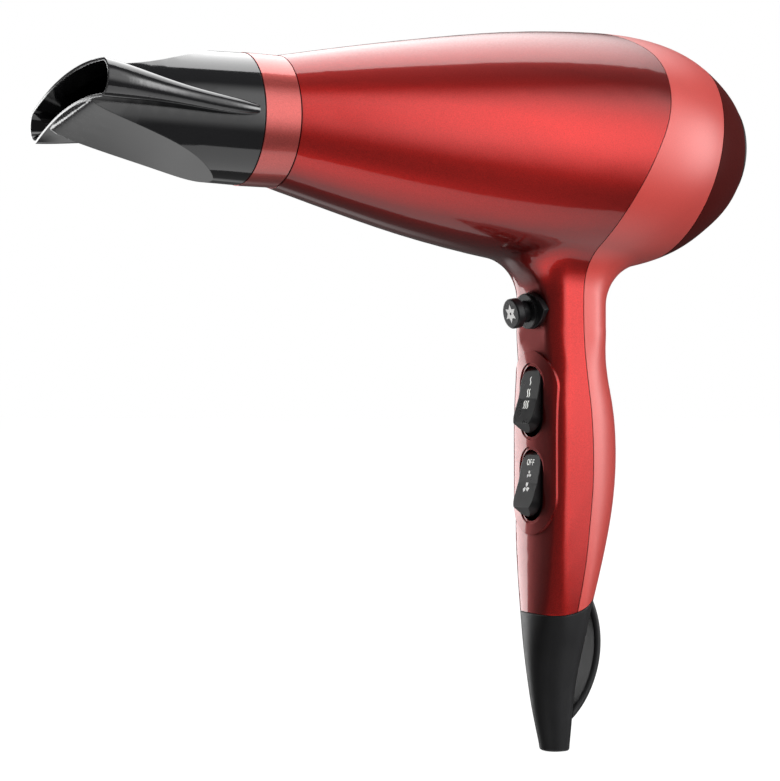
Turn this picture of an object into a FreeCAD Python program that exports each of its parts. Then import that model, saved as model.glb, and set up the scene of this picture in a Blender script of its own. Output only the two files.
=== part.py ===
import FreeCAD, Part
import math
import os
from FreeCAD import Vector as V, Rotation, Placement

# Pistol-grip hair dryer with a slot nozzle. Millimetres, +Z up.
# The barrel lies along X; air leaves toward -X and enters at +X.
# The handle hangs down in the X-Z plane, which is the plane of symmetry.
# Everything is drawn with the barrel axis at y = z = 0, then moved so that
# the finished part has its origin in the middle of the hand grip.

# ---- driving dimensions ----
GRIP = V(4.0, 0.0, -120.0)      # middle of the hand grip, the part's origin
WALL = 2.4                      # shell thickness
GAP = 0.3                       # visible joint line between shell mouldings
X_SHELL = -128.0                # front end of the barrel shell
X_RING = -142.0                 # front face of the outlet ring
X_REAR = 72.6                   # rear face of the rear cover
R_OUTLET = 24.4                 # outside radius at the outlet
R_BORE = 20.9                   # bore of the outlet ring
R_INLET = 23.3                  # bore of the rear cover

# barrel sections: x, top z, bottom z, width/height ratio
BARREL = [
    (-128.0, 24.4, -24.6, 1.0), (-118.0, 26.4, -27.4, 0.99), (-100.0, 30.0, -32.4, 0.98),
    (-75.0, 34.6, -38.9, 0.97), (-50.0, 38.8, -44.2, 0.965), (-25.0, 42.2, -48.2, 0.965),
    (0.0, 44.3, -50.4, 0.965), (20.0, 44.9, -50.4, 0.965), (38.0, 43.2, -47.2, 0.965),
    (52.0, 39.2, -41.8, 0.965), (62.0, 34.0, -35.6, 0.97), (69.4, 28.7, -29.9, 0.98),
    (72.6, 25.3, -25.9, 0.99),
]

# neck where the handle meets the barrel: a round-cornered box in plan, and the flare between the two
NECK_FRONT, NECK_BACK, NECK_HALF, NECK_RF, NECK_RB = -14.6, 16.0, 16.3, 7.0, 13.0
NECK_MID, NECK_IN_A, NECK_IN_B = 0.7, 12.4, 13.8   # the hollow inside it is an ellipse
NECK_Z, FLARE = -74.0, 20.0

FRONT_CROWN = 12.0              # the handle's front face bows by this angle at its edges

# handle and tail sections: z, front x, back x, half width, front corner radius
HANDLE = [
    (-90.0, -14.7, 18.0, 16.6, 6.5), (-104.0, -14.7, 21.0, 17.2, 5.5), (-123.0, -14.7, 23.0, 17.5, 5.0),
    (-143.5, -14.8, 21.6, 17.3, 5.0), (-160.0, -15.2, 18.0, 16.8, 5.5), (-175.0, -15.3, 13.5, 15.9, 7.0),
    (-188.0, -15.6, 9.7, 14.5, 9.0), (-202.0, -16.0, 7.0, 12.0, 10.5), (-214.0, -15.0, 4.5, 9.9, 9.4),
    (-226.0, -13.3, 3.0, 8.2, 8.0), (-238.0, -10.8, 2.0, 6.6, 6.4), (-243.5, -9.8, 1.6, 5.9, 5.7),
]
Z_TAIL_END = -243.5

# joint line between the front shell and the back band, seen from the side: x, z
BAND_LINE = [
    (-6.0, 50.0), (6.0, 46.4), (16.5, 40.6), (22.6, 33.0), (23.4, 24.5), (22.0, 15.4), (19.2, 6.0),
    (14.5, -5.0), (9.2, -17.2), (4.6, -29.0), (1.3, -40.0), (-0.6, -54.0), (-1.0, -70.0), (0.2, -90.0),
    (2.0, -106.0), (3.0, -124.0), (2.8, -138.0), (1.5, -153.0), (0.0, -168.0), (-2.4, -184.0), (-4.0, -200.0),
]
# joint line between the red handle and the black tail: x, z
TAIL_LINE = [
    (-30.0, -189.2), (-14.5, -188.0), (-7.5, -187.8), (0.0, -186.0), (6.0, -182.7), (11.0, -179.2), (24.0, -169.0),
]
# plane between the back band and the rear cover
COVER_X, COVER_TILT = 49.6, 11.5

# controls
PAD_PROUD = 0.8                 # raised switch pad
PAD_Z0, PAD_Z1, PAD_HALF = -157.0, -83.5, 15.4
ROCKER_Z = {"heat": -103.8, "speed": -137.2}
PIVOT_X = -11.6                 # rocker pivot
ROCKER_TILT = 14.0              # rest tilt: top pressed in
ROCKER_HALF_L, ROCKER_HALF_W = 13.2, 7.0
WINDOW_HALF_L, WINDOW_HALF_W = 14.2, 7.7
RIM_STEP, RIM_WIDTH = 0.5, 1.1  # shallow step round each rocker window
BUTTON_AT = V(-15.4, 0, -67.6)  # point on the handle front where the button sits
BUTTON_TILT = 9.0               # the button points forward and down by this much
BUTTON_R = 6.0

# air path
FAN_X0, FAN_X1, FAN_R = 28.0, 44.0, 30.8
DUCT_X0, DUCT_X1, DUCT_R = 6.0, 50.0, 31.6
MOTOR_X0, MOTOR_X1, MOTOR_R = -30.0, 24.0, 17.5
SHAFT_R = 1.6
SLEEVE_R = 20.4                 # heater sleeve, outside
SLEEVE_X0, SLEEVE_X1 = -124.5, -42.0
BOARD_X0, BOARD_X1, BOARD_HALF, BOARD_T = -118.0, -45.0, 14.6, 0.8
COIL_R, COIL_WIRE, COIL_PITCH, COIL_TURNS = 15.2, 0.45, 6.0, 10

# nozzle
NOZZLE_X = X_RING - 0.3         # its rear face
MOUTH_X = -207.5
NOZZLE_WALL = 2.1
NOZZLE_R, NOZZLE_R_MOUTH = 24.1, 22.2   # its round body tapers toward the mouth
# slot and side horns: x, half width, half height, height of the middle, arch
HORN = [
    (-207.5, 42.6, 6.5, 5.2, 3.8), (-190.0, 37.6, 4.9, 2.6, 2.2), (-171.0, 31.6, 3.5, 0.0, 0.9),
    (-150.0, 26.3, 2.6, -1.5, 0.4), (-144.5, 24.4, 1.9, -1.6, 0.3),
]
HORN_IN = [
    (-208.5, 41.8, 5.6, 5.3, 3.8), (-200.0, 38.4, 4.1, 4.1, 3.0), (-190.0, 35.4, 2.8, 2.6, 2.2),
    (-176.0, 30.0, 1.7, 0.6, 1.0), (-164.0, 21.5, 1.2, -0.4, 0.6),
]
# upper and lower faces between body and mouth, seen from the side: x, z
TOP_FACE = [(-151.0, 24.9), (-156.0, 22.7), (-168.0, 18.2), (-182.5, 13.6), (-196.0, 11.2), (-207.5, 10.3)]
LOW_FACE = [(-151.0, -25.2), (-158.0, -22.0), (-165.0, -18.6), (-182.0, -12.3), (-191.0, -9.4), (-198.0, -7.1),
            (-203.0, -5.2), (-206.5, -3.0), (-207.5, -1.2)]
TOP_INSIDE = [(-150.0, 22.9), (-157.0, 20.0), (-168.0, 15.9), (-182.5, 11.3), (-196.0, 8.9), (-208.5, 7.8)]
LOW_INSIDE = [(-150.0, -23.2), (-158.0, -19.5), (-165.0, -16.3), (-182.0, -10.1), (-196.0, -5.6), (-203.0, -2.3),
              (-208.5, 1.2)]
NOZZLE_TURN = -6.0              # it sits turned a little about the barrel axis

os.makedirs("parts", exist_ok=True)


def save(name, shape):
    placed = shape.copy()
    placed.translate(V(0, 0, 0) - GRIP)
    placed.exportStep("parts/%s.step" % name)


def cyl(x0, x1, r):
    return Part.makeCylinder(r, x1 - x0, V(x0, 0, 0), V(1, 0, 0))


def tube(x0, x1, r_out, r_in):
    return cyl(x0, x1, r_out).cut(cyl(x0 - 1, x1 + 1, r_in))


def box(x0, x1, y0, y1, z0, z1):
    return Part.makeBox(x1 - x0, y1 - y0, z1 - z0, V(x0, y0, z0))


def about_x(shape, angle):
    s = shape.copy()
    s.rotate(V(0, 0, 0), V(1, 0, 0), angle)
    return s


def union(shapes):
    return shapes[0].multiFuse(shapes[1:]).removeSplitter()


def ellipse_x(x, z_top, z_bottom, ratio, inset):
    half, mid = (z_top - z_bottom) / 2, (z_top + z_bottom) / 2
    rz, ry = half - inset, ratio * half - inset
    if abs(rz - ry) < 1e-6:
        return Part.Wire([Part.Circle(V(x, 0, mid), V(1, 0, 0), rz).toShape()])
    return Part.Wire([Part.Ellipse(V(x, 0, mid + rz), V(x, ry, mid), V(x, 0, mid)).toShape()])


def barrel(inset):
    return Part.makeLoft([ellipse_x(x, t, b, k if k < 1 else 0.9999, inset) for x, t, b, k in BARREL], True, False)


SPANS = 40                      # spline spans round a handle section


def evenly_spaced(outline):
    """SPANS points at equal steps along a closed outline."""
    ring = outline + outline[:1]
    steps = [(q - p).Length for p, q in zip(ring, ring[1:])]
    pitch, pts, i, walked = sum(steps) / SPANS, [], 0, 0.0
    for k in range(SPANS):
        while walked + steps[i] < k * pitch - 1e-9:
            walked += steps[i]
            i += 1
        pts.append(ring[i] + (ring[i + 1] - ring[i]) * ((k * pitch - walked) / steps[i]))
    return pts


def section_points(z, x_front, x_back, half, corner, inset):
    """Slightly bowed front with round corners, straight sides, half-elliptic back."""
    xf, b, r = x_front + inset, half - inset, max(corner - inset, 0.8)
    xm = min(0.0, (x_front + x_back) / 2 + 2.0)
    a = x_back - inset - xm
    bow = math.radians(FRONT_CROWN)
    y_edge = b - r + r * math.sin(bow)
    xc = xf + y_edge * math.tan(bow) / 2 + r * math.cos(bow)
    half_turn = [math.pi / 24 * j for j in range(25)]
    corner_turn = [(math.pi / 2 - bow) / 16 * j for j in range(17)]
    front = [y_edge * j / 8 for j in range(-7, 8)]
    pts = [V(xm + a * math.sin(t), b * math.cos(t), z) for t in half_turn]
    pts += [V(xc - r * math.sin(t), -(b - r) - r * math.cos(t), z) for t in corner_turn]
    pts += [V(xf + y * y * math.tan(bow) / (2 * y_edge), y, z) for y in front]
    pts += [V(xc - r * math.sin(t), (b - r) + r * math.cos(t), z) for t in reversed(corner_turn)]
    return evenly_spaced(pts)


def neck_points(z, inset):
    """Round-cornered box outside, ellipse inside."""
    if inset >= WALL:
        pts = [V(NECK_MID + NECK_IN_A * math.sin(t), NECK_IN_B * math.cos(t), z)
               for t in [math.pi / 90 * j for j in range(180)]]
        return evenly_spaced(pts)
    f, b, h = NECK_FRONT + inset, NECK_BACK - inset, NECK_HALF - inset
    rf, rb = NECK_RF - inset, NECK_RB - inset
    pts = [V(0, h, z)]
    for cx, cy, r, start in ((b - rb, h - rb, rb, 90), (b - rb, rb - h, rb, 0), (f + rf, rf - h, rf, -90),
                             (f + rf, h - rf, rf, -180)):
        for k in range(25):
            t = math.radians(start - 90 * k / 24)
            pts.append(V(cx + r * math.cos(t), cy + r * math.sin(t), z))
    return evenly_spaced(pts)


def closed_curve(pts):
    curve = Part.BSplineCurve()
    curve.interpolate(Points=pts, PeriodicFlag=True, Parameters=[k / SPANS for k in range(SPANS + 1)])
    return Part.Wire([curve.toShape()])


def handle(inset):
    wires = [closed_curve(neck_points(z, inset)) for z in (NECK_Z, NECK_Z - 5)]
    wires += [closed_curve(section_points(*s, inset)) for s in HANDLE]
    return Part.makeLoft(wires, True, False)


def flared_barrel(inset):
    """Barrel and neck joined with the large flare."""
    neck = Part.Face(closed_curve(neck_points(NECK_Z, inset))).extrude(V(0, 0, 50))
    both = barrel(inset).fuse(neck)
    foot = []
    for e in both.Edges:
        bb = e.BoundBox
        if bb.ZMin > -60 and bb.ZMax < -38 and bb.XMin > -25 and bb.XMax < 25:
            foot.append(e)
    return both.makeFillet(FLARE + inset, foot)


def side_region(points, closing, shift):
    """Prism through Y whose edge is a smooth curve seen from the side."""
    curve = Part.BSplineCurve()
    curve.interpolate([V(x + shift[0], 0, z + shift[1]) for x, z in points])
    first, last = curve.StartPoint, curve.EndPoint
    corners = [last] + [V(x, 0, z) for x, z in closing] + [first]
    edges = [curve.toShape()] + [Part.LineSegment(p, q).toShape() for p, q in zip(corners, corners[1:])]
    face = Part.Face(Part.Wire(edges))
    face.translate(V(0, -90, 0))
    return face.extrude(V(0, 180, 0))


def stadium_x(half_l, half_w, x0, x1, z):
    """Prism along X with a stadium outline, long axis Z."""
    s = box(x0, x1, -half_w, half_w, z - half_l + half_w, z + half_l - half_w)
    for zz in (z - half_l + half_w, z + half_l - half_w):
        s = s.fuse(Part.makeCylinder(half_w, x1 - x0, V(x0, 0, zz), V(1, 0, 0)))
    return s.removeSplitter()


# ---- outer body, then split into its mouldings ----
outer_top, inner_top = flared_barrel(0.0), flared_barrel(WALL)
outer_handle, inner_handle = handle(0.0), handle(WALL)
front_of_collar = box(-200, 66, -90, 90, -90, 90)
cavity = inner_top.common(front_of_collar).fuse(cyl(60, X_REAR + 2, R_INLET))
shell_top = outer_top.cut(cavity)
shell_handle = outer_handle.cut(inner_handle)
shell = shell_top.cut(inner_handle).fuse(shell_handle.cut(inner_top)).removeSplitter()

front_side = side_region(BAND_LINE, [(-300, -200), (-300, 50)], (0, 0))
band_side = side_region(BAND_LINE, [(200, -200), (200, 50)], (GAP, 0))
above_tail = side_region(TAIL_LINE, [(24, 90), (-30, 90)], (0, 0))
below_tail = side_region(TAIL_LINE, [(24, -300), (-30, -300)], (0, -GAP))
wide_above = above_tail.fuse(box(-300, 200, -90, 90, -168, 90))


def cover_half_space(x, keep):
    s = box(x, 300, -90, 90, -60, 90) if keep == "rear" else box(-300, x, -90, 90, -300, 90)
    s.rotate(V(x, 0, 0), V(0, 1, 0), COVER_TILT)
    return s


red = shell.common(wide_above)
front_shell = red.common(front_side)
back_band = red.common(band_side).cut(cover_half_space(COVER_X, "rear"))
rear_cover = red.cut(cover_half_space(COVER_X + GAP, "front")).common(box(20, 90, -60, 60, -60, 60))

# switch pad, rocker windows and button hole in the front shell
pad = handle(-PAD_PROUD).cut(handle(1.0))
pad_mid, pad_len = (PAD_Z0 + PAD_Z1) / 2, (PAD_Z1 - PAD_Z0) / 2
pad = pad.common(stadium_x(pad_len, PAD_HALF, -30, -6, pad_mid))
front_shell = front_shell.fuse(pad).removeSplitter()
rim_layer = handle(-PAD_PROUD - 1).cut(handle(RIM_STEP - PAD_PROUD))
for z in ROCKER_Z.values():
    step = rim_layer.common(stadium_x(WINDOW_HALF_L + RIM_WIDTH, WINDOW_HALF_W + RIM_WIDTH, -30, -6, z))
    front_shell = front_shell.cut(step).cut(stadium_x(WINDOW_HALF_L, WINDOW_HALF_W, -30, -9, z))

# button frame: local -Z runs into the handle, +Z out of it
BUTTON = Placement(BUTTON_AT, Rotation(V(0, 0, 1), V(-math.cos(math.radians(BUTTON_TILT)), 0,
                                                      -math.sin(math.radians(BUTTON_TILT)))))


def in_button_frame(shape):
    s = shape.copy()
    s.Placement = BUTTON.multiply(s.Placement)
    return s


def zcyl(z0, z1, r):
    return Part.makeCylinder(r, z1 - z0, V(0, 0, z0))


# the bezel is a ring with two pointed lugs, let into the shell
lens = Part.makeCylinder(13.0, 4.0, V(5.8, 0, -1.8)).common(Part.makeCylinder(13.0, 4.0, V(-5.8, 0, -1.8)))
lugs = lens.common(box(-10, 10, -20, 20, -1.8, 1.2))
bezel_out = lugs.fuse(zcyl(-1.8, 2.2, 7.0)).removeSplitter()
front_shell = front_shell.cut(in_button_frame(bezel_out.fuse(zcyl(-8, 12, 5.2))))
save("front_shell", front_shell)
save("back_band", back_band)
save("rear_cover", rear_cover)

# ---- outlet ring and grille ----
ring = tube(X_RING, X_SHELL - GAP, R_OUTLET - 0.1, R_BORE)
spigot = tube(X_SHELL - GAP - 1, X_SHELL + 7, 21.9, R_BORE)
front_ring = ring.fuse(spigot).removeSplitter()
save("front_ring", front_ring)

grille_x0, grille_x1 = -127.6, -125.4
parts = [tube(grille_x0, grille_x1, r_out, r_in) for r_out, r_in in ((R_BORE - 0.05, 19.2), (14.2, 13.2), (8.0, 7.0))]
parts += [cyl(grille_x0, grille_x1, 2.6)]
parts += [about_x(box(grille_x0, grille_x1, -0.5, 0.5, 1.5, 20.0), 45 * i) for i in range(8)]
save("outlet_grille", union(parts))

# ---- heater: crossed boards, two windings, sleeve, cut-outs ----
x_slot = (BOARD_X0 + BOARD_X1) / 2
ht = BOARD_T / 2
board_v = box(BOARD_X0, BOARD_X1, -ht, ht, -BOARD_HALF, BOARD_HALF)
board_v = board_v.cut(box(BOARD_X0 - 1, x_slot, -2, 2, -ht - 0.05, ht + 0.05))
board_h = box(BOARD_X0, BOARD_X1, -BOARD_HALF, BOARD_HALF, -ht, ht)
board_h = board_h.cut(box(x_slot, BOARD_X1 + 1, -ht - 0.05, ht + 0.05, -2, 2))
save("heater_board_upright", board_v)
save("heater_board_flat", board_h)


def coil(x0, phase):
    path = Part.makeHelix(COIL_PITCH, COIL_PITCH * COIL_TURNS, COIL_R)
    wire = Part.Wire(Part.Circle(V(COIL_R, 0, 0), V(0, 1, 0), COIL_WIRE).toShape())
    solid = Part.Wire(path).makePipeShell([wire], True, True)
    solid.rotate(V(0, 0, 0), V(0, 0, 1), phase)
    solid.rotate(V(0, 0, 0), V(0, 1, 0), 90)
    solid.translate(V(x0, 0, 0))
    return solid


save("heater_coil_low", coil(-114.0, 0))
save("heater_coil_high", coil(-114.0, 180))
save("mica_sleeve", tube(SLEEVE_X0, SLEEVE_X1, SLEEVE_R, SLEEVE_R - 0.6))
save("thermostat", box(-60, -50, ht, ht + 3.2, 2.0, 10.5))
fuse = Part.makeCylinder(1.6, 10, V(-72, ht + 1.6, -6), V(1, 0, 0))
fuse = fuse.fuse(Part.makeCylinder(0.4, 16, V(-75, ht + 1.6, -6), V(1, 0, 0))).removeSplitter()
save("thermal_fuse", fuse)


# ---- air guide: cone from the fan duct down to the heater sleeve ----
def cone_between(x0, r0, x1, r1):
    return Part.makeCone(r0, r1, x1 - x0, V(x0, 0, 0), V(1, 0, 0))


guide = cone_between(-36, SLEEVE_R + 1.7, DUCT_X0 - 0.2, DUCT_R + 1.4).fuse(cyl(-48, -36, SLEEVE_R + 1.7))
guide = guide.cut(cone_between(-36, SLEEVE_R + 0.1, DUCT_X0 - 0.2, DUCT_R)).cut(cyl(-50, -35.9, SLEEVE_R + 0.1))
wire_ports = [(-27.8, 6.0), (-27.8, -6.0)]
for x, y in wire_ports:
    guide = guide.cut(Part.makeCylinder(2.7, 30, V(x, y, -40)))
save("air_guide", guide.removeSplitter())

# ---- fan duct with stator vanes and motor cup ----
duct = [tube(DUCT_X0, DUCT_X1, DUCT_R + 2.0, DUCT_R), tube(DUCT_X0, 22, MOTOR_R + 2.0, MOTOR_R + 0.05)]
for i in range(7):
    vane = box(-6.5, 6.5, -0.8, 0.8, MOTOR_R + 1.0, DUCT_R + 1.0)
    vane.rotate(V(0, 0, 0), V(0, 0, 1), -14)
    vane.translate(V(14.0, 0, 0))
    duct.append(about_x(vane, 360 / 7 * i))
flange = barrel(WALL + 0.2).common(box(22, 24.5, -60, 60, -60, 60)).cut(cyl(20, 26, DUCT_R + 0.5))
flange = flange.cut(box(20, 26, -10, 10, -60, -DUCT_R - 4))
duct.append(flange)
save("fan_duct", union(duct))

# ---- motor ----
can = cyl(MOTOR_X0, MOTOR_X1, MOTOR_R).cut(cyl(MOTOR_X0 + 1.5, MOTOR_X1 + 1, MOTOR_R - 1.5))
can = can.cut(cyl(MOTOR_X0 - 1, MOTOR_X0 + 3, 4.0))
save("motor_can", can)
end_cap = cyl(MOTOR_X1 - 2.5, MOTOR_X1, MOTOR_R - 1.5).cut(cyl(MOTOR_X1 - 4, MOTOR_X1 + 1, 4.0))
save("motor_end_cap", end_cap)
save("motor_magnets", tube(-20, 14, MOTOR_R - 1.5, 12.2))
save("bearing_front", tube(MOTOR_X0, MOTOR_X0 + 3.0, 4.0, SHAFT_R + 0.05))
save("bearing_rear", tube(MOTOR_X1 - 2.5, MOTOR_X1 + 1.0, 4.0, SHAFT_R + 0.05))
save("motor_shaft", cyl(MOTOR_X0 - 1.0, FAN_X1 + 1.0, SHAFT_R))
rotor = tube(-18, 12, 11.6, SHAFT_R)
for i in range(5):
    rotor = rotor.cut(about_x(box(-19, 13, -0.9, 0.9, 7.5, 12.5), 72 * i))
save("rotor_core", rotor)
save("commutator", tube(13.5, 19.0, 4.5, SHAFT_R))

# ---- impeller ----
hub = cyl(FAN_X0, FAN_X1, 10.5)
hub = hub.makeFillet(2.5, [e for e in hub.Edges if e.BoundBox.XMin > FAN_X1 - 1])
blades = [hub]
for i in range(9):
    blade = box(-8.5, 8.5, -0.7, 0.7, 9.5, FAN_R + 2)
    blade.rotate(V(0, 0, 0), V(0, 0, 1), 38)
    blade.translate(V((FAN_X0 + FAN_X1) / 2, 0, 0))
    blades.append(about_x(blade, 40 * i))
impeller = union(blades).common(cyl(FAN_X0 - 3, FAN_X1 + 3, FAN_R)).cut(cyl(FAN_X0 - 5, FAN_X1 + 5, SHAFT_R))
save("fan_impeller", impeller)

# ---- finger guard behind the inlet ----
guard_x0, guard_x1 = 63.6, 65.9
parts = [tube(guard_x0, guard_x1, r_out, r_in) for r_out, r_in in ((28.0, 24.0), (16.6, 15.2), (8.6, 7.2))]
parts += [about_x(box(guard_x0, guard_x1, -0.8, 0.8, 7.5, 25.0), 60 * i) for i in range(6)]
save("fan_guard", union(parts))

# ---- removable inlet grille and its mesh ----
rim = tube(X_REAR + 0.2, X_REAR + 1.8, 24.6, 22.6)
rim = rim.makeFillet(0.8, [e for e in rim.Edges if e.BoundBox.XMin > X_REAR + 1.7 and e.BoundBox.YMax > 24])
parts = [rim, tube(X_REAR - 6.5, X_REAR + 1.0, R_INLET - 0.2, 21.7)]
dome_r = 140.0
dome_c = X_REAR + 1.6 - dome_r
dome = Part.makeSphere(dome_r, V(dome_c, 0, 0)).cut(Part.makeSphere(dome_r - 1.6, V(dome_c, 0, 0)))
bar_x0, bar_x1 = X_REAR - 4, X_REAR + 4
bars = [tube(bar_x0, bar_x1, r + 0.6, r - 0.6) for r in (5.0, 9.5, 14.0, 18.5)]
bars += [about_x(box(bar_x0, bar_x1, -0.7, 0.7, 3.6, 22.8), 45 * i) for i in range(8)]
bars += [cyl(bar_x0, bar_x1, 2.0)]
bars += [about_x(box(bar_x0, bar_x1, -0.7, 0.7, 0.0, 5.0), 90 * i) for i in range(4)]
parts.append(union(bars).common(dome))
save("inlet_grille", union(parts))
mesh = cyl(X_REAR - 3.0, X_REAR - 2.2, 21.65)
holes = []
pitch = 3.6
for i in range(-6, 7):
    for j in range(-6, 7):
        y, z = pitch * (i + 0.5 * j), pitch * j * math.sqrt(3) / 2
        if math.hypot(y, z) < 19.6:
            holes.append(Part.makeCylinder(1.35, 4, V(X_REAR - 4, y, z), V(1, 0, 0)))
save("filter_mesh", mesh.cut(Part.makeCompound(holes)))


# ---- nozzle ----
def arched_slot(x, half_w, half_t, middle, rise):
    """Closed outline of a slot with round ends, bent upward by rise in its middle."""
    c = half_w - half_t
    bend_r = (c * c + rise * rise) / (2 * rise)
    end = math.asin(c / bend_r)

    def at(r, angle):
        return V(x, r * math.sin(angle), middle - bend_r + r * math.cos(angle))

    low, high = bend_r - half_t, bend_r + half_t
    tips = [at(bend_r, s * end) + V(0, s * half_t * math.cos(end), -half_t * math.sin(end)) for s in (1, -1)]
    return Part.Wire([Part.Arc(at(low, -end), at(low, 0), at(low, end)).toShape(),
                      Part.Arc(at(low, end), tips[0], at(high, end)).toShape(),
                      Part.Arc(at(high, end), at(high, 0), at(high, -end)).toShape(),
                      Part.Arc(at(high, -end), tips[1], at(low, -end)).toShape()])


def between_faces(top, low):
    """Prism through Y, wide at the ring end and closing to the mouth along two curves."""
    upper, lower = Part.BSplineCurve(), Part.BSplineCurve()
    upper.interpolate([V(x, 0, z) for x, z in top])
    lower.interpolate([V(x, 0, z) for x, z in low])
    corners = [lower.StartPoint, V(low[0][0], 0, -40), V(NOZZLE_X, 0, -40), V(NOZZLE_X, 0, 40), V(top[0][0], 0, 40),
               upper.StartPoint]
    edges = [lower.toShape(), upper.toShape(), Part.LineSegment(upper.EndPoint, lower.EndPoint).toShape()]
    edges += [Part.LineSegment(p, q).toShape() for p, q in zip(corners, corners[1:])]
    face = Part.Face(Part.Wire(Part.__sortEdges__(edges)))
    face.translate(V(0, -60, 0))
    return face.extrude(V(0, 120, 0))


def taper(x0, x1, inset):
    return Part.makeCone(NOZZLE_R_MOUTH - inset, NOZZLE_R - inset, x1 - x0, V(x0, 0, 0), V(1, 0, 0))


core = taper(MOUTH_X, NOZZLE_X, 0.0).common(between_faces(TOP_FACE, LOW_FACE))
horn = Part.makeLoft([arched_slot(*h) for h in HORN], True, False)
core_in = taper(MOUTH_X - 1, NOZZLE_X - 4, NOZZLE_WALL).common(between_faces(TOP_INSIDE, LOW_INSIDE))
horn_in = Part.makeLoft([arched_slot(*h) for h in HORN_IN], True, True)
nozzle = core.fuse(horn).fuse(cyl(NOZZLE_X - 3, NOZZLE_X + 10.5, R_BORE - 0.3)).removeSplitter()
nozzle = nozzle.cut(core_in).cut(horn_in).cut(cyl(NOZZLE_X - 6, NOZZLE_X + 12, 18.8))
groove_x = NOZZLE_X + 7.0
nozzle = nozzle.cut(tube(groove_x - 0.8, groove_x + 0.8, 22.0, 19.7))
save("nozzle", about_x(nozzle, NOZZLE_TURN))
clip = tube(groove_x - 0.6, groove_x + 0.6, R_BORE - 0.15, 19.8).cut(box(-150, -120, -3, 3, 0, 30))
save("nozzle_clip_ring", clip)


# ---- rockers, pins and switch bodies ----
def rocker(z):
    """Built level with its face toward -X, then tilted to the rest position."""
    outline = stadium_x(ROCKER_HALF_L, ROCKER_HALF_W, -30, 10, 0)
    crest, top = -10.4, 5.6
    pts = [(1.2, ROCKER_HALF_L), (top - 0.9, ROCKER_HALF_L), (top, ROCKER_HALF_L - 2.0), (top - 0.5, 0),
           (top + 0.3, crest), (top - 3.6, -ROCKER_HALF_L), (1.2, -ROCKER_HALF_L)]
    poly = Part.makePolygon([V(-n, 0, t) for n, t in pts + pts[:1]])
    face = Part.Face(poly)
    face.translate(V(0, -12, 0))
    body = face.extrude(V(0, 24, 0)).common(outline)
    lug = box(-2.0, 2.0, -3.0, 3.0, -2.6, 2.6).common(
        Part.makeCylinder(2.6, 6, V(0, -3, 0), V(0, 1, 0)).fuse(box(-3, 0, -3, 3, -2.6, 2.6)))
    body = body.fuse(lug)
    for s in (-1, 1):
        body = body.cut(box(-3.2, 5, s * 4.1 - 1.0, s * 4.1 + 1.0, -4.6, 4.6))
    body = body.cut(Part.makeCylinder(1.05, 20, V(0, -10, 0), V(0, 1, 0))).removeSplitter()
    body.rotate(V(0, 0, 0), V(0, 1, 0), ROCKER_TILT)
    body.translate(V(PIVOT_X, 0, z))
    return body


def switch_body(z):
    base = box(PIVOT_X + 3.4, 3.0, -7.2, 7.2, z - 14, z + 14)
    for s in (-1, 1):
        ear = box(PIVOT_X - 1.9, PIVOT_X + 4, s * 4.1 - 0.8, s * 4.1 + 0.8, z - 2.6, z + 2.6)
        base = base.fuse(ear)
    return base.cut(Part.makeCylinder(1.0, 20, V(PIVOT_X, -10, z), V(0, 1, 0))).removeSplitter()


for kind, z in ROCKER_Z.items():
    save(kind + "_rocker", rocker(z))
    save(kind + "_switch_body", switch_body(z))
    save(kind + "_rocker_pin", Part.makeCylinder(1.0, 9.8, V(PIVOT_X, -4.9, z), V(0, 1, 0)))
save("switch_board", box(3.0, 4.6, -9.5, 9.5, -153.0, -88.0))

# ---- cool button, bezel, spring and switch ----
bezel = bezel_out.fuse(zcyl(-3.4, 0, 5.1)).cut(zcyl(-5, 4, 4.35)).removeSplitter()
save("cool_bezel", in_button_frame(bezel))
cap = zcyl(5.9, 9.3, BUTTON_R)
cap = cap.makeFillet(0.6, [e for e in cap.Edges if e.Length > 30])
button = cap.fuse(zcyl(-4.0, 7.0, 4.2)).fuse(zcyl(-5.0, -3.9, 5.0)).fuse(zcyl(-12.0, -4.5, 1.2)).removeSplitter()
save("cool_button", in_button_frame(button))
spring_path = Part.makeHelix(1.175, 4.7, 3.0)
ring_wire = Part.Wire(Part.Circle(V(3.0, 0, 0), V(0, 1, 0), 0.3).toShape())
spring = Part.Wire(spring_path).makePipeShell([ring_wire], True, True)
spring.translate(V(0, 0, -10.06))
save("cool_spring", in_button_frame(spring))
micro = box(-5.5, 5.5, -5.0, 5.0, -18.0, -10.4).cut(zcyl(-16, -9, 1.25))
save("cool_switch", in_button_frame(micro))

# ---- tail, hanging loop and cord clamp ----
TAIL_IN = 4.2
tail = outer_handle.common(below_tail)
tail = tail.makeFillet(1.0, [e for e in tail.Edges if e.BoundBox.ZMax < Z_TAIL_END + 0.1])
tail = tail.fuse(handle(WALL + 0.1).common(box(-30, 40, -30, 30, -192, -174))).removeSplitter()
tail = tail.cut(handle(TAIL_IN).common(box(-30, 40, -30, 30, -222, -170)))
anvil = box(0.0, 12, -14, 14, -184, -177).common(handle(WALL + 0.1))
tail = tail.fuse(anvil).removeSplitter()
CORD_X, CORD_R = -3.6, 3.9
tail = tail.cut(Part.makeCylinder(CORD_R, 80, V(CORD_X, 0, -250)))
tail = tail.cut(Part.makeCylinder(CORD_R + 0.7, 36, V(CORD_X, 0, -221.5)))
for s in (-1, 1):
    tail = tail.cut(Part.makeCylinder(1.2, 12, V(-6, s * 7, -180.5), V(1, 0, 0)))

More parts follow.
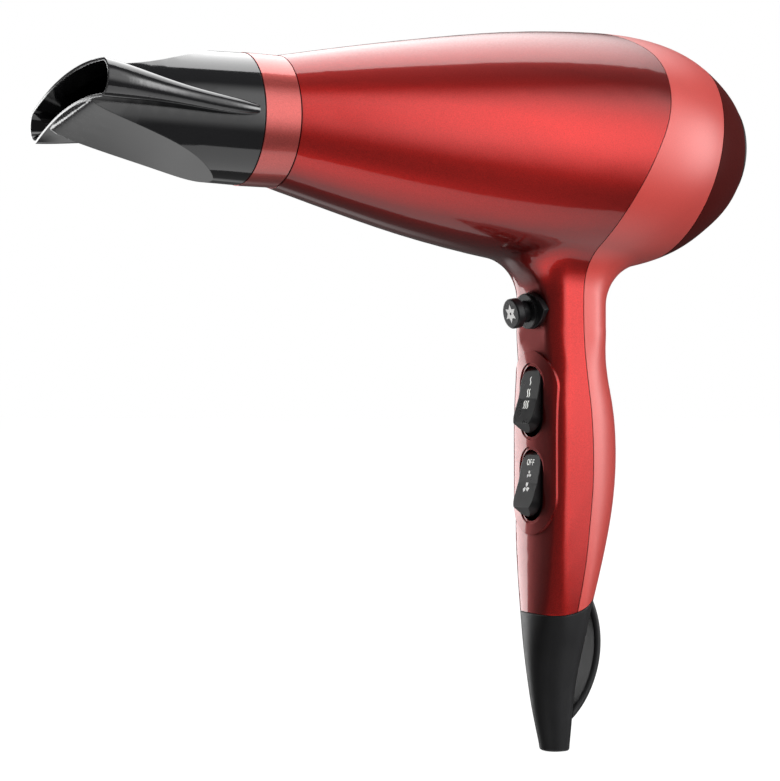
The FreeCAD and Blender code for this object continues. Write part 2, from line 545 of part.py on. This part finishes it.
# loop: a flat strap with round edges, bent in the X-Z plane
loop_pts = [V(8.2, 0, -181.0), V(11.6, 0, -188.0), V(13.7, 0, -198.0), V(13.1, 0, -208.0), V(9.7, 0, -218.0),
            V(4.0, 0, -226.5), V(0.0, 0, -230.2)]
loop_curve = Part.BSplineCurve()
loop_curve.interpolate(loop_pts)
start_dir = loop_curve.tangent(loop_curve.FirstParameter)[0]
strap_w, strap_t = 4.3, 1.5
rails = [V(strap_t, -strap_w, 0), V(strap_t, strap_w, 0), V(0, strap_w + strap_t, 0), V(-strap_t, strap_w, 0),
         V(-strap_t, -strap_w, 0), V(0, -strap_w - strap_t, 0)]
bar = Part.Wire([Part.LineSegment(rails[0], rails[1]).toShape(), Part.Arc(rails[1], rails[2], rails[3]).toShape(),
                 Part.LineSegment(rails[3], rails[4]).toShape(), Part.Arc(rails[4], rails[5], rails[0]).toShape()])
bar.Placement = Placement(loop_pts[0], Rotation(V(0, 0, 1), start_dir))
loop = Part.Wire(loop_curve.toShape()).makePipeShell([bar], True, True)
loop = loop.cut(outer_handle)
save("tail_cap", tail)
save("hanging_loop", max(loop.Solids, key=lambda s: s.Volume))

clamp = box(-10.0, -4.6, -9.4, 9.4, -184, -177).common(handle(TAIL_IN + 0.3))
clamp = clamp.cut(Part.makeCylinder(CORD_R, 40, V(CORD_X, 0, -200)))
for s, side in ((-1, "right"), (1, "left")):
    clamp = clamp.cut(Part.makeCylinder(1.3, 20, V(-12, s * 7, -180.5), V(1, 0, 0)))
    screw = Part.makeCylinder(1.2, 13.4, V(-8.4, s * 7, -180.5), V(1, 0, 0))
    screw = screw.common(box(-20, 5.9, -20, 20, -200, -100))
    save("clamp_screw_" + side, screw)
save("cord_clamp", clamp)


# ---- leads ----
def lead(points, r=0.9):
    curve = Part.BSplineCurve()
    curve.interpolate([V(*p) for p in points])
    tangent = curve.tangent(curve.FirstParameter)[0]
    disc = Part.Wire(Part.Circle(V(*points[0]), tangent, r).toShape())
    return Part.Wire(curve.toShape()).makePipeShell([disc], True, True)


for s, side in ((-1, "neutral"), (1, "live")):
    save("mains_lead_" + side, lead([(-3.6, 1.6 * s, -197), (-3.6, 1.6 * s, -186), (-3.6, 1.7 * s, -174),
                                     (1, 3 * s, -165), (6.5, 5 * s, -156), (6.6, 5 * s, -146)]))
for s, side in ((-1, "return"), (1, "feed")):
    save("motor_lead_" + side, lead([(7.2, 2.2 * s, -96), (8.0, 2.2 * s, -80), (7.6, 2.4 * s, -62),
                                     (0, 4 * s, -48), (-18, 5.5 * s, -38), (-26, 6 * s, -28),
                                     (-30, 6 * s, -20), (-31.5, 6 * s, -12)]))
print("done")
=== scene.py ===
import bpy
import math
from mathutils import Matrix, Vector


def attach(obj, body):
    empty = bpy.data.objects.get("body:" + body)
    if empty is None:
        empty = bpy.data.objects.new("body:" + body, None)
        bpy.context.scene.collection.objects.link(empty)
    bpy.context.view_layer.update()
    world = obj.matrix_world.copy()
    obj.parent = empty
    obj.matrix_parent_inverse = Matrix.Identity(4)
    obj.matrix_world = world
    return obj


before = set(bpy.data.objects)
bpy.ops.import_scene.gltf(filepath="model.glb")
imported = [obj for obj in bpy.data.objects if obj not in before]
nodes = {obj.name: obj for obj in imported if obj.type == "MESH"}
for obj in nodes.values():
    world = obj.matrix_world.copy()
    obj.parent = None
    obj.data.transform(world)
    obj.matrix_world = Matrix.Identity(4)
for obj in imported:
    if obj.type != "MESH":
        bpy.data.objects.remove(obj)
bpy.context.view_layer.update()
scene = bpy.context.scene

# The part is drawn with the barrel axis at y = z = 0; the frame's origin is in the grip.
GRIP = Vector((4.0, 0.0, -120.0))


def mm(x, y, z):
    """Point given in millimetres from the barrel axis, in the frame's metres."""
    return (Vector((x, y, z)) - GRIP) / 1000.0


# ---------------------------------------------------------------- materials
class Nodes:
    """Small helper for building one node material."""

    def __init__(self, name):
        self.mat = bpy.data.materials.new(name)
        self.mat.use_nodes = True
        self.t = self.mat.node_tree
        self.bsdf = self.t.nodes["Principled BSDF"]
        self.coord = None

    def add(self, kind, **values):
        n = self.t.nodes.new(kind)
        for k, v in values.items():
            if hasattr(n, k):
                setattr(n, k, v)
            else:
                n.inputs[k.replace("_", " ")].default_value = v
        return n

    def link(self, a, out, b, inp):
        self.t.links.new(a.outputs[out], b.inputs[inp])

    def object_coords(self):
        if self.coord is None:
            self.coord = self.add("ShaderNodeTexCoord")
        return self.coord

    def noise(self, scale, detail=2.0, rough=0.5):
        n = self.add("ShaderNodeTexNoise", Scale=scale, Detail=detail, Roughness=rough)
        self.link(self.object_coords(), "Object", n, "Vector")
        return n

    def ramp(self, source, out, stops):
        r = self.add("ShaderNodeValToRGB")
        e = r.color_ramp.elements
        while len(e) < len(stops):
            e.new(0.5)
        for el, (pos, col) in zip(e, stops):
            el.position, el.color = pos, (*col, 1.0)
        self.link(source, out, r, "Fac")
        return r

    def remap(self, source, out, lo, hi):
        m = self.add("ShaderNodeMapRange")
        m.inputs["From Min"].default_value = 0.25
        m.inputs["From Max"].default_value = 0.75
        m.inputs["To Min"].default_value = lo
        m.inputs["To Max"].default_value = hi
        self.link(source, out, m, "Value")
        return m

    def set(self, **values):
        for k, v in values.items():
            self.bsdf.inputs[k.replace("_", " ")].default_value = v

    def edge_round(self, radius, bump=None):
        b = self.add("ShaderNodeBevel", samples=6, Radius=radius)
        if bump:
            self.link(bump, "Normal", b, "Normal")
        self.link(b, "Normal", self.bsdf, "Normal")


def flake_paint(name, dark, light, flop_shade, metallic, rough, coat, coat_rough, coat_ior=1.6,
                grain=2600.0):
    """Metallic paint under clear coat: fine flakes, and a colour that darkens as the surface turns away
    from the viewer, partly the paint's flop and partly painted shade.
    """
    n = Nodes(name)
    flakes = n.ramp(n.noise(grain, 3.0, 0.75), "Fac", [(0.30, dark), (0.62, light)])
    turn = n.add("ShaderNodeLayerWeight", Blend=0.5)
    # painted shade: the base colour is darkened towards edge-on to stand in for light falloff, on top of
    # the paint's flop
    flop_shade_ramp = n.ramp(turn, "Facing", [(p, (v, v, v)) for p, v in flop_shade])
    both = n.add("ShaderNodeMix", data_type="RGBA", blend_type="MULTIPLY")
    both.inputs["Factor"].default_value = 1.0
    n.t.links.new(flakes.outputs["Color"], both.inputs[6])
    n.t.links.new(flop_shade_ramp.outputs["Color"], both.inputs[7])
    n.t.links.new(both.outputs[2], n.bsdf.inputs["Base Color"])
    r = n.remap(n.noise(grain * 0.5, 1.0), "Fac", rough - 0.05, rough + 0.05)
    n.link(r, "Result", n.bsdf, "Roughness")
    n.set(Metallic=metallic, Coat_Weight=coat, Coat_Roughness=coat_rough, Coat_IOR=coat_ior)
    return n


def plastic(name, colour, rough, vary=0.03, grain=900.0, bump=0.0, coat=0.0, bevel=0.0):
    """Moulded plastic or rubber with slight roughness variation and a fine grain."""
    n = Nodes(name)
    lo, hi = [c * 0.88 for c in colour], [min(1.0, c * 1.12) for c in colour]
    mottle = n.noise(60.0, 3.0)
    colours = n.ramp(mottle, "Fac", [(0.3, lo), (0.7, hi)])
    n.link(colours, "Color", n.bsdf, "Base Color")
    r = n.remap(n.noise(140.0, 3.0), "Fac", max(0.0, rough - vary), rough + vary)
    n.link(r, "Result", n.bsdf, "Roughness")
    n.set(Coat_Weight=coat, Coat_Roughness=0.08)
    relief = None
    if bump:
        relief = n.add("ShaderNodeBump", Strength=bump, Distance=0.00008)
        n.link(n.noise(grain, 2.0), "Fac", relief, "Height")
        n.link(relief, "Normal", n.bsdf, "Normal")
    if bevel:
        n.edge_round(bevel, relief)
    return n


def metal(name, colour, rough, stretch=None):
    """Bare metal with a fine grain, drawn out along one way where stretch is given."""
    n = Nodes(name)
    src = n.noise(500.0, 3.0)
    if stretch:
        m = n.add("ShaderNodeMapping")
        m.inputs["Scale"].default_value = stretch
        n.link(n.object_coords(), "Object", m, "Vector")
        n.link(m, "Vector", src, "Vector")
    lo, hi = [c * 0.85 for c in colour], [min(1.0, c * 1.1) for c in colour]
    n.link(n.ramp(src, "Fac", [(0.3, lo), (0.7, hi)]), "Color", n.bsdf, "Base Color")
    n.link(n.remap(src, "Fac", rough - 0.06, rough + 0.06), "Result", n.bsdf, "Roughness")
    n.set(Metallic=1.0)
    return n


# painted shade on top of the paint's flop: how much of the paint's colour is left, from facing the viewer
# (0) to edge on (1)
DEEP_FLOP_SHADE = [(0.12, 1.0), (0.22, 0.60), (0.34, 0.32), (0.60, 0.25)]
MILD_FLOP_SHADE = [(0.10, 1.0), (0.45, 0.75)]
shell_red = flake_paint("shell_red", (0.70, 0.020, 0.016), (0.96, 0.038, 0.032), DEEP_FLOP_SHADE,
                        0.94, 0.40, 1.0, 0.08, 1.55)
shell_red.edge_round(0.0005)
band_coral = flake_paint("band_coral", (0.68, 0.058, 0.046), (0.80, 0.078, 0.063), MILD_FLOP_SHADE,
                         0.10, 0.45, 0.9, 0.36, 1.6, 3200.0)
band_coral.edge_round(0.0005)
cover_red = flake_paint("cover_red", (0.060, 0.007, 0.006), (0.090, 0.010, 0.009), MILD_FLOP_SHADE,
                        0.0, 0.40, 0.0, 0.16, 1.4)
cover_red.set(Specular_IOR_Level=0.05)
cover_red.edge_round(0.0005)
ring_rose = flake_paint("ring_rose", (0.60, 0.090, 0.080), (0.80, 0.130, 0.115), MILD_FLOP_SHADE,
                        0.85, 0.34, 1.0, 0.10)
ring_rose.edge_round(0.0003)
nozzle_black = plastic("nozzle_black", (0.010, 0.010, 0.011), 0.07, 0.02, coat=1.0, bevel=0.0006)
tail_black = plastic("tail_black", (0.014, 0.014, 0.015), 0.40, 0.05, 1500.0, 0.25, bevel=0.0008)
control_black = plastic("control_black", (0.012, 0.012, 0.013), 0.30, 0.05, 1800.0, 0.2, bevel=0.0005)
grille_black = plastic("grille_black", (0.012, 0.012, 0.013), 0.34, 0.05, bevel=0.0003)
duct_black = plastic("duct_black", (0.020, 0.020, 0.022), 0.50, 0.05)
housing = plastic("switch_housing", (0.05, 0.05, 0.055), 0.55, 0.05)
mica = plastic("mica", (0.52, 0.45, 0.33), 0.55, 0.08)
circuit = plastic("circuit_green", (0.02, 0.16, 0.06), 0.40, 0.05)
white_print_glowing = plastic("white_print_glowing", (0.86, 0.86, 0.84), 0.45, 0.04)
# painted glow: the white print is given a faint emission so it shines, though it is no lamp
white_print_glowing.set(Emission_Color=(1.0, 1.0, 0.98, 1.0), Emission_Strength=0.35)
lead_white = plastic("lead_white", (0.70, 0.70, 0.68), 0.45)
lead_brown = plastic("lead_brown", (0.18, 0.07, 0.03), 0.45)
lead_blue = plastic("lead_blue", (0.03, 0.09, 0.42), 0.45)
mesh_steel = metal("mesh_steel", (0.36, 0.36, 0.37), 0.38)
steel = metal("steel", (0.60, 0.60, 0.61), 0.28)
motor_steel = metal("motor_steel", (0.55, 0.55, 0.54), 0.34, (1.0, 14.0, 14.0))
magnet = plastic("magnet", (0.06, 0.06, 0.062), 0.55)
bronze = metal("bronze", (0.62, 0.42, 0.20), 0.36)
copper = metal("copper", (0.80, 0.40, 0.24), 0.26)
element_wire = metal("element_wire", (0.42, 0.38, 0.34), 0.42)

LOOK = {
    "front_shell": shell_red, "back_band": band_coral, "rear_cover": cover_red, "front_ring": ring_rose,
    "nozzle": nozzle_black, "tail_cap": tail_black, "hanging_loop": tail_black,
    "heat_rocker": control_black, "speed_rocker": control_black, "cool_button": control_black,
    "cool_bezel": control_black, "inlet_grille": grille_black, "fan_guard": grille_black,
    "filter_mesh": mesh_steel, "outlet_grille": duct_black, "air_guide": duct_black, "fan_duct": duct_black,
    "fan_impeller": duct_black, "motor_end_cap": duct_black, "cord_clamp": duct_black,
    "heat_switch_body": housing, "speed_switch_body": housing, "cool_switch": housing,
    "mica_sleeve": mica, "heater_board_upright": mica, "heater_board_flat": mica,
    "heater_coil_low": element_wire, "heater_coil_high": element_wire, "thermostat": steel,
    "thermal_fuse": bronze, "bearing_front": bronze, "bearing_rear": bronze, "commutator": copper,
    "motor_can": motor_steel, "motor_magnets": magnet, "rotor_core": magnet, "motor_shaft": steel,
    "heat_rocker_pin": steel, "speed_rocker_pin": steel, "clamp_screw_left": steel,
    "clamp_screw_right": steel, "cool_spring": steel, "nozzle_clip_ring": steel,
    "switch_board": circuit, "mains_lead_live": lead_brown, "mains_lead_neutral": lead_blue,
    "motor_lead_feed": lead_white, "motor_lead_return": lead_white,
}
for name, obj in nodes.items():
    obj.data.materials.clear()
    obj.data.materials.append(LOOK[name].mat)

# ---------------------------------------------------------------- printed marks
def stroke(points, width, closed=False):
    """Quads of a flat line of the given width through 2-D points."""
    pts = points + points[:1] if closed else points
    verts, faces = [], []
    for (x0, y0), (x1, y1) in zip(pts, pts[1:]):
        length = math.hypot(x1 - x0, y1 - y0)
        ux, uy = (x1 - x0) / length * width / 2, (y1 - y0) / length * width / 2
        k = len(verts)
        verts += [(x0 - ux - uy, y0 - uy + ux), (x0 - ux + uy, y0 - uy - ux), (x1 + ux + uy, y1 + uy - ux),
                  (x1 + ux - uy, y1 + uy + ux)]
        faces.append((k, k + 1, k + 2, k + 3))
    return verts, faces


def wave(across, height=3.0, width=0.48):
    """One upright heat wave."""
    pts = [(across + 0.30 * math.sin(2 * math.pi * k / 12), height * (k / 12 - 0.5)) for k in range(13)]
    return stroke(pts, width)


def letters_off(height=2.1, width=0.36):
    """The word OFF in plain strokes."""
    h = height / 2
    ring = [(-1.95 + 0.74 * math.cos(a), h * math.sin(a)) for a in [math.pi / 8 * k for k in range(16)]]
    parts = [stroke(ring, width, True)]
    for x in (-0.50, 1.25):
        parts.append(stroke([(x, -h), (x, h), (x + 0.90, h)], width))
        parts.append(stroke([(x, 0.05), (x + 0.8, 0.05)], width))
    return parts


def fan(radius):
    """Three curved blades round a small hub."""
    verts, faces = [], []
    for blade in range(3):
        a0 = math.radians(90 + 120 * blade)
        k = len(verts)
        edge = [(0.10, 0.0), (0.45, 0.42), (1.0, 0.48), (1.0, -0.28), (0.45, -0.30)]
        c, s = radius * math.cos(a0), radius * math.sin(a0)
        verts += [(u * c - v * s, u * s + v * c) for u, v in edge]
        faces.append(tuple(range(k, k + 5)))
    return [(verts, faces)]


def star(outer, inner, hub):
    """Six-pointed star with an open middle."""
    tips, ring = [], []
    for k in range(12):
        a = math.radians(30 * k + 90)
        r = outer if k % 2 == 0 else inner
        tips.append((r * math.cos(a), r * math.sin(a)))
        ring.append((hub * math.cos(a), hub * math.sin(a)))
    verts = tips + ring
    return [(verts, [(k, (k + 1) % 12, 12 + (k + 1) % 12, 12 + k) for k in range(12)])]


def marked(name, parts, place, body):
    """Print a flat figure: place turns its 2-D millimetres into a point of the frame."""
    verts, faces = [], []
    for v, f in parts:
        k = len(verts)
        verts += [place(*p) for p in v]
        faces += [tuple(i + k for i in face) for face in f]
    mesh = bpy.data.meshes.new(name)
    mesh.from_pydata([tuple(v) for v in verts], [], faces)
    obj = bpy.data.objects.new(name, mesh)
    scene.collection.objects.link(obj)
    obj.data.materials.append(white_print_glowing.mat)
    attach(obj, body)


TILT, PIVOT_X = math.radians(14.0), -11.6    # the rockers' rest tilt and pivots
HEAT_Z, SPEED_Z = -103.8, -137.2
LIFT = 0.06                                  # the print stands this far off the face
BUTTON_X, BUTTON_Z = -24.585, -69.055        # middle of the button's face
BUTTON_TILT = math.radians(9.0)


def on_rocker(z_pivot, along):
    """Place figures on a rocker's face, centred at a distance along it from the pivot."""
    def place(across, up):
        t = along + up
        n = LIFT + (5.1 + 0.5 * t / 11.2 if t > 0 else 5.1 - 0.8 * t / 10.4)
        return mm(PIVOT_X - n * math.cos(TILT) + t * math.sin(TILT), -across,
                  z_pivot + n * math.sin(TILT) + t * math.cos(TILT))
    return place


def on_button(across, up):
    c, s = math.cos(BUTTON_TILT), math.sin(BUTTON_TILT)
    return mm(BUTTON_X - LIFT * c - up * s, -across, BUTTON_Z - LIFT * s + up * c)


for count, along in ((1, 7.1), (2, 2.2), (3, -2.6)):
    waves = [wave(1.30 * (k - (count - 1) / 2)) for k in range(count)]
    marked("heat_mark_%d" % count, waves, on_rocker(HEAT_Z, along), "heat_rocker")
marked("speed_mark_off", letters_off(), on_rocker(SPEED_Z, 8.1), "speed_rocker")
marked("speed_mark_low", fan(1.45), on_rocker(SPEED_Z, 3.2), "speed_rocker")
marked("speed_mark_high", fan(2.1), on_rocker(SPEED_Z, -2.2), "speed_rocker")
marked("cool_mark", star(3.8, 2.0, 0.6), on_button, "cool_button")

# ---------------------------------------------------------------- camera
camera = bpy.data.objects.new("camera", bpy.data.cameras.new("camera"))
scene.collection.objects.link(camera)
scene.camera = camera
AZ, DISTANCE = math.radians(28.5), 0.720    # level, toward the nozzle side of the side view
SENSOR, VIEW_WIDTH = 36.0, 780.0 / 1880.0    # the picture's width as a share of the distance
target = mm(-79.0, 0.0, -99.4)
back = Vector((-math.sin(AZ), -math.cos(AZ), 0.0))
camera.location = target + back * DISTANCE
camera.rotation_euler = (-back).to_track_quat("-Z", "Y").to_euler()
camera.data.sensor_width = SENSOR
camera.data.lens = SENSOR / VIEW_WIDTH

# ---------------------------------------------------------------- stage and light
FLOOR_Z = mm(0, 0, -243.7).z
bpy.ops.mesh.primitive_circle_add(vertices=96, radius=9.0, fill_type="NGON", location=(0, 0, FLOOR_Z))
floor = bpy.context.object
floor.name = "floor"
pale = Nodes("pale_floor")
tone = pale.ramp(pale.noise(3.0), "Fac", [(0.3, (0.99, 0.99, 0.99)), (0.7, (1.0, 1.0, 1.0))])
pale.link(tone, "Color", pale.bsdf, "Emission Color")
pale.set(Base_Color=(0.1, 0.1, 0.1, 1.0), Roughness=1.0, Emission_Strength=1.0, Specular_IOR_Level=0.0)
floor.data.materials.append(pale.mat)
floor.visible_glossy = floor.visible_diffuse = floor.visible_shadow = False

world = bpy.data.worlds.new("studio")
scene.world = world
world.use_nodes = True
wt = world.node_tree
for n in list(wt.nodes):
    wt.nodes.remove(n)
out = wt.nodes.new("ShaderNodeOutputWorld")
mix = wt.nodes.new("ShaderNodeMixShader")
path = wt.nodes.new("ShaderNodeLightPath")
seen, dim = wt.nodes.new("ShaderNodeBackground"), wt.nodes.new("ShaderNodeBackground")
seen.inputs["Color"].default_value = (1, 1, 1, 1)
seen.inputs["Strength"].default_value = 1.0
dim.inputs["Color"].default_value = (1, 1, 1, 1)
dim.inputs["Strength"].default_value = 0.08
wt.links.new(path.outputs["Is Camera Ray"], mix.inputs["Fac"])
wt.links.new(dim.outputs[0], mix.inputs[1])
wt.links.new(seen.outputs[0], mix.inputs[2])
wt.links.new(mix.outputs[0], out.inputs["Surface"])


def softbox(name, at, facing, width, height, radiance, glossy=True, fade=(0.0, 0.0)):
    """Rectangular light; width runs level and height the other way; fade is the share of each side
    over which its edges soften."""
    light = bpy.data.lights.new(name, "AREA")
    light.shape, light.size, light.size_y = "RECTANGLE", width, height
    light.energy = radiance * math.pi * width * height
    if any(fade):
        light.use_nodes = True
        t = light.node_tree
        glow = t.nodes["Emission"]
        place = t.nodes.new("ShaderNodeNewGeometry")
        split = t.nodes.new("ShaderNodeSeparateXYZ")
        t.links.new(place.outputs["Parametric"], split.inputs[0])
        both = t.nodes.new("ShaderNodeMath")
        both.operation = "MULTIPLY"
        for k, share in enumerate(fade):
            r = t.nodes.new("ShaderNodeValToRGB")
            r.color_ramp.interpolation = "EASE"
            e = r.color_ramp.elements
            e[0].position, e[0].color = 0.0, ((0, 0, 0, 1) if share else (1, 1, 1, 1))
            e[1].position, e[1].color = 1.0, e[0].color
            for pos in (max(share, 0.001), 1.0 - max(share, 0.001)):
                e.new(pos).color = (1, 1, 1, 1)
            t.links.new(split.outputs[k], r.inputs["Fac"])
            t.links.new(r.outputs["Color"], both.inputs[k])
        t.links.new(both.outputs[0], glow.inputs["Strength"])
    obj = bpy.data.objects.new(name, light)
    scene.collection.objects.link(obj)
    obj.location = at
    obj.rotation_euler = Vector(facing).to_track_quat("-Z", "Y").to_euler()
    obj.visible_camera = False
    obj.visible_glossy = glossy


softbox("overhead", (0.10, 1.04, 1.10), (0, 0, -1), 2.5, 2.4, 3.0, fade=(0.46, 0.0))
softbox("front_right", (0.74, -1.42, 0.62), (-0.74, 1.42, -0.10), 2.7, 2.9, 1.18, fade=(0.30, 0.36))
softbox("under", (-0.05, -0.10, -0.80), (0, 0, 1), 2.2, 0.90, 0.75, fade=(0.25, 0.0))
softbox("back_left", (-0.33, 1.20, -0.05), (0, -1, 0), 0.62, 0.74, 3.0)
softbox("back_low", (-0.02, 1.20, -0.72), (0, -1, 0), 1.3, 0.56, 0.42, fade=(0.25, 0.35))
softbox("right_side", (1.28, -0.70, 0.24), (-0.88, 0.48, -0.05), 0.95, 1.4, 5.0, fade=(0.48, 0.42))
softbox("front_left_high", (-0.95, -0.95, 1.65), (0.95, 0.95, -1.55), 1.3, 0.9, 2.2,
        fade=(0.3, 0.3))
softbox("fill", (0.50, -1.45, 0.55), (-0.50, 1.45, -0.45), 0.9, 0.9, 6.0, glossy=False)

scene.view_settings.view_transform = "Standard"
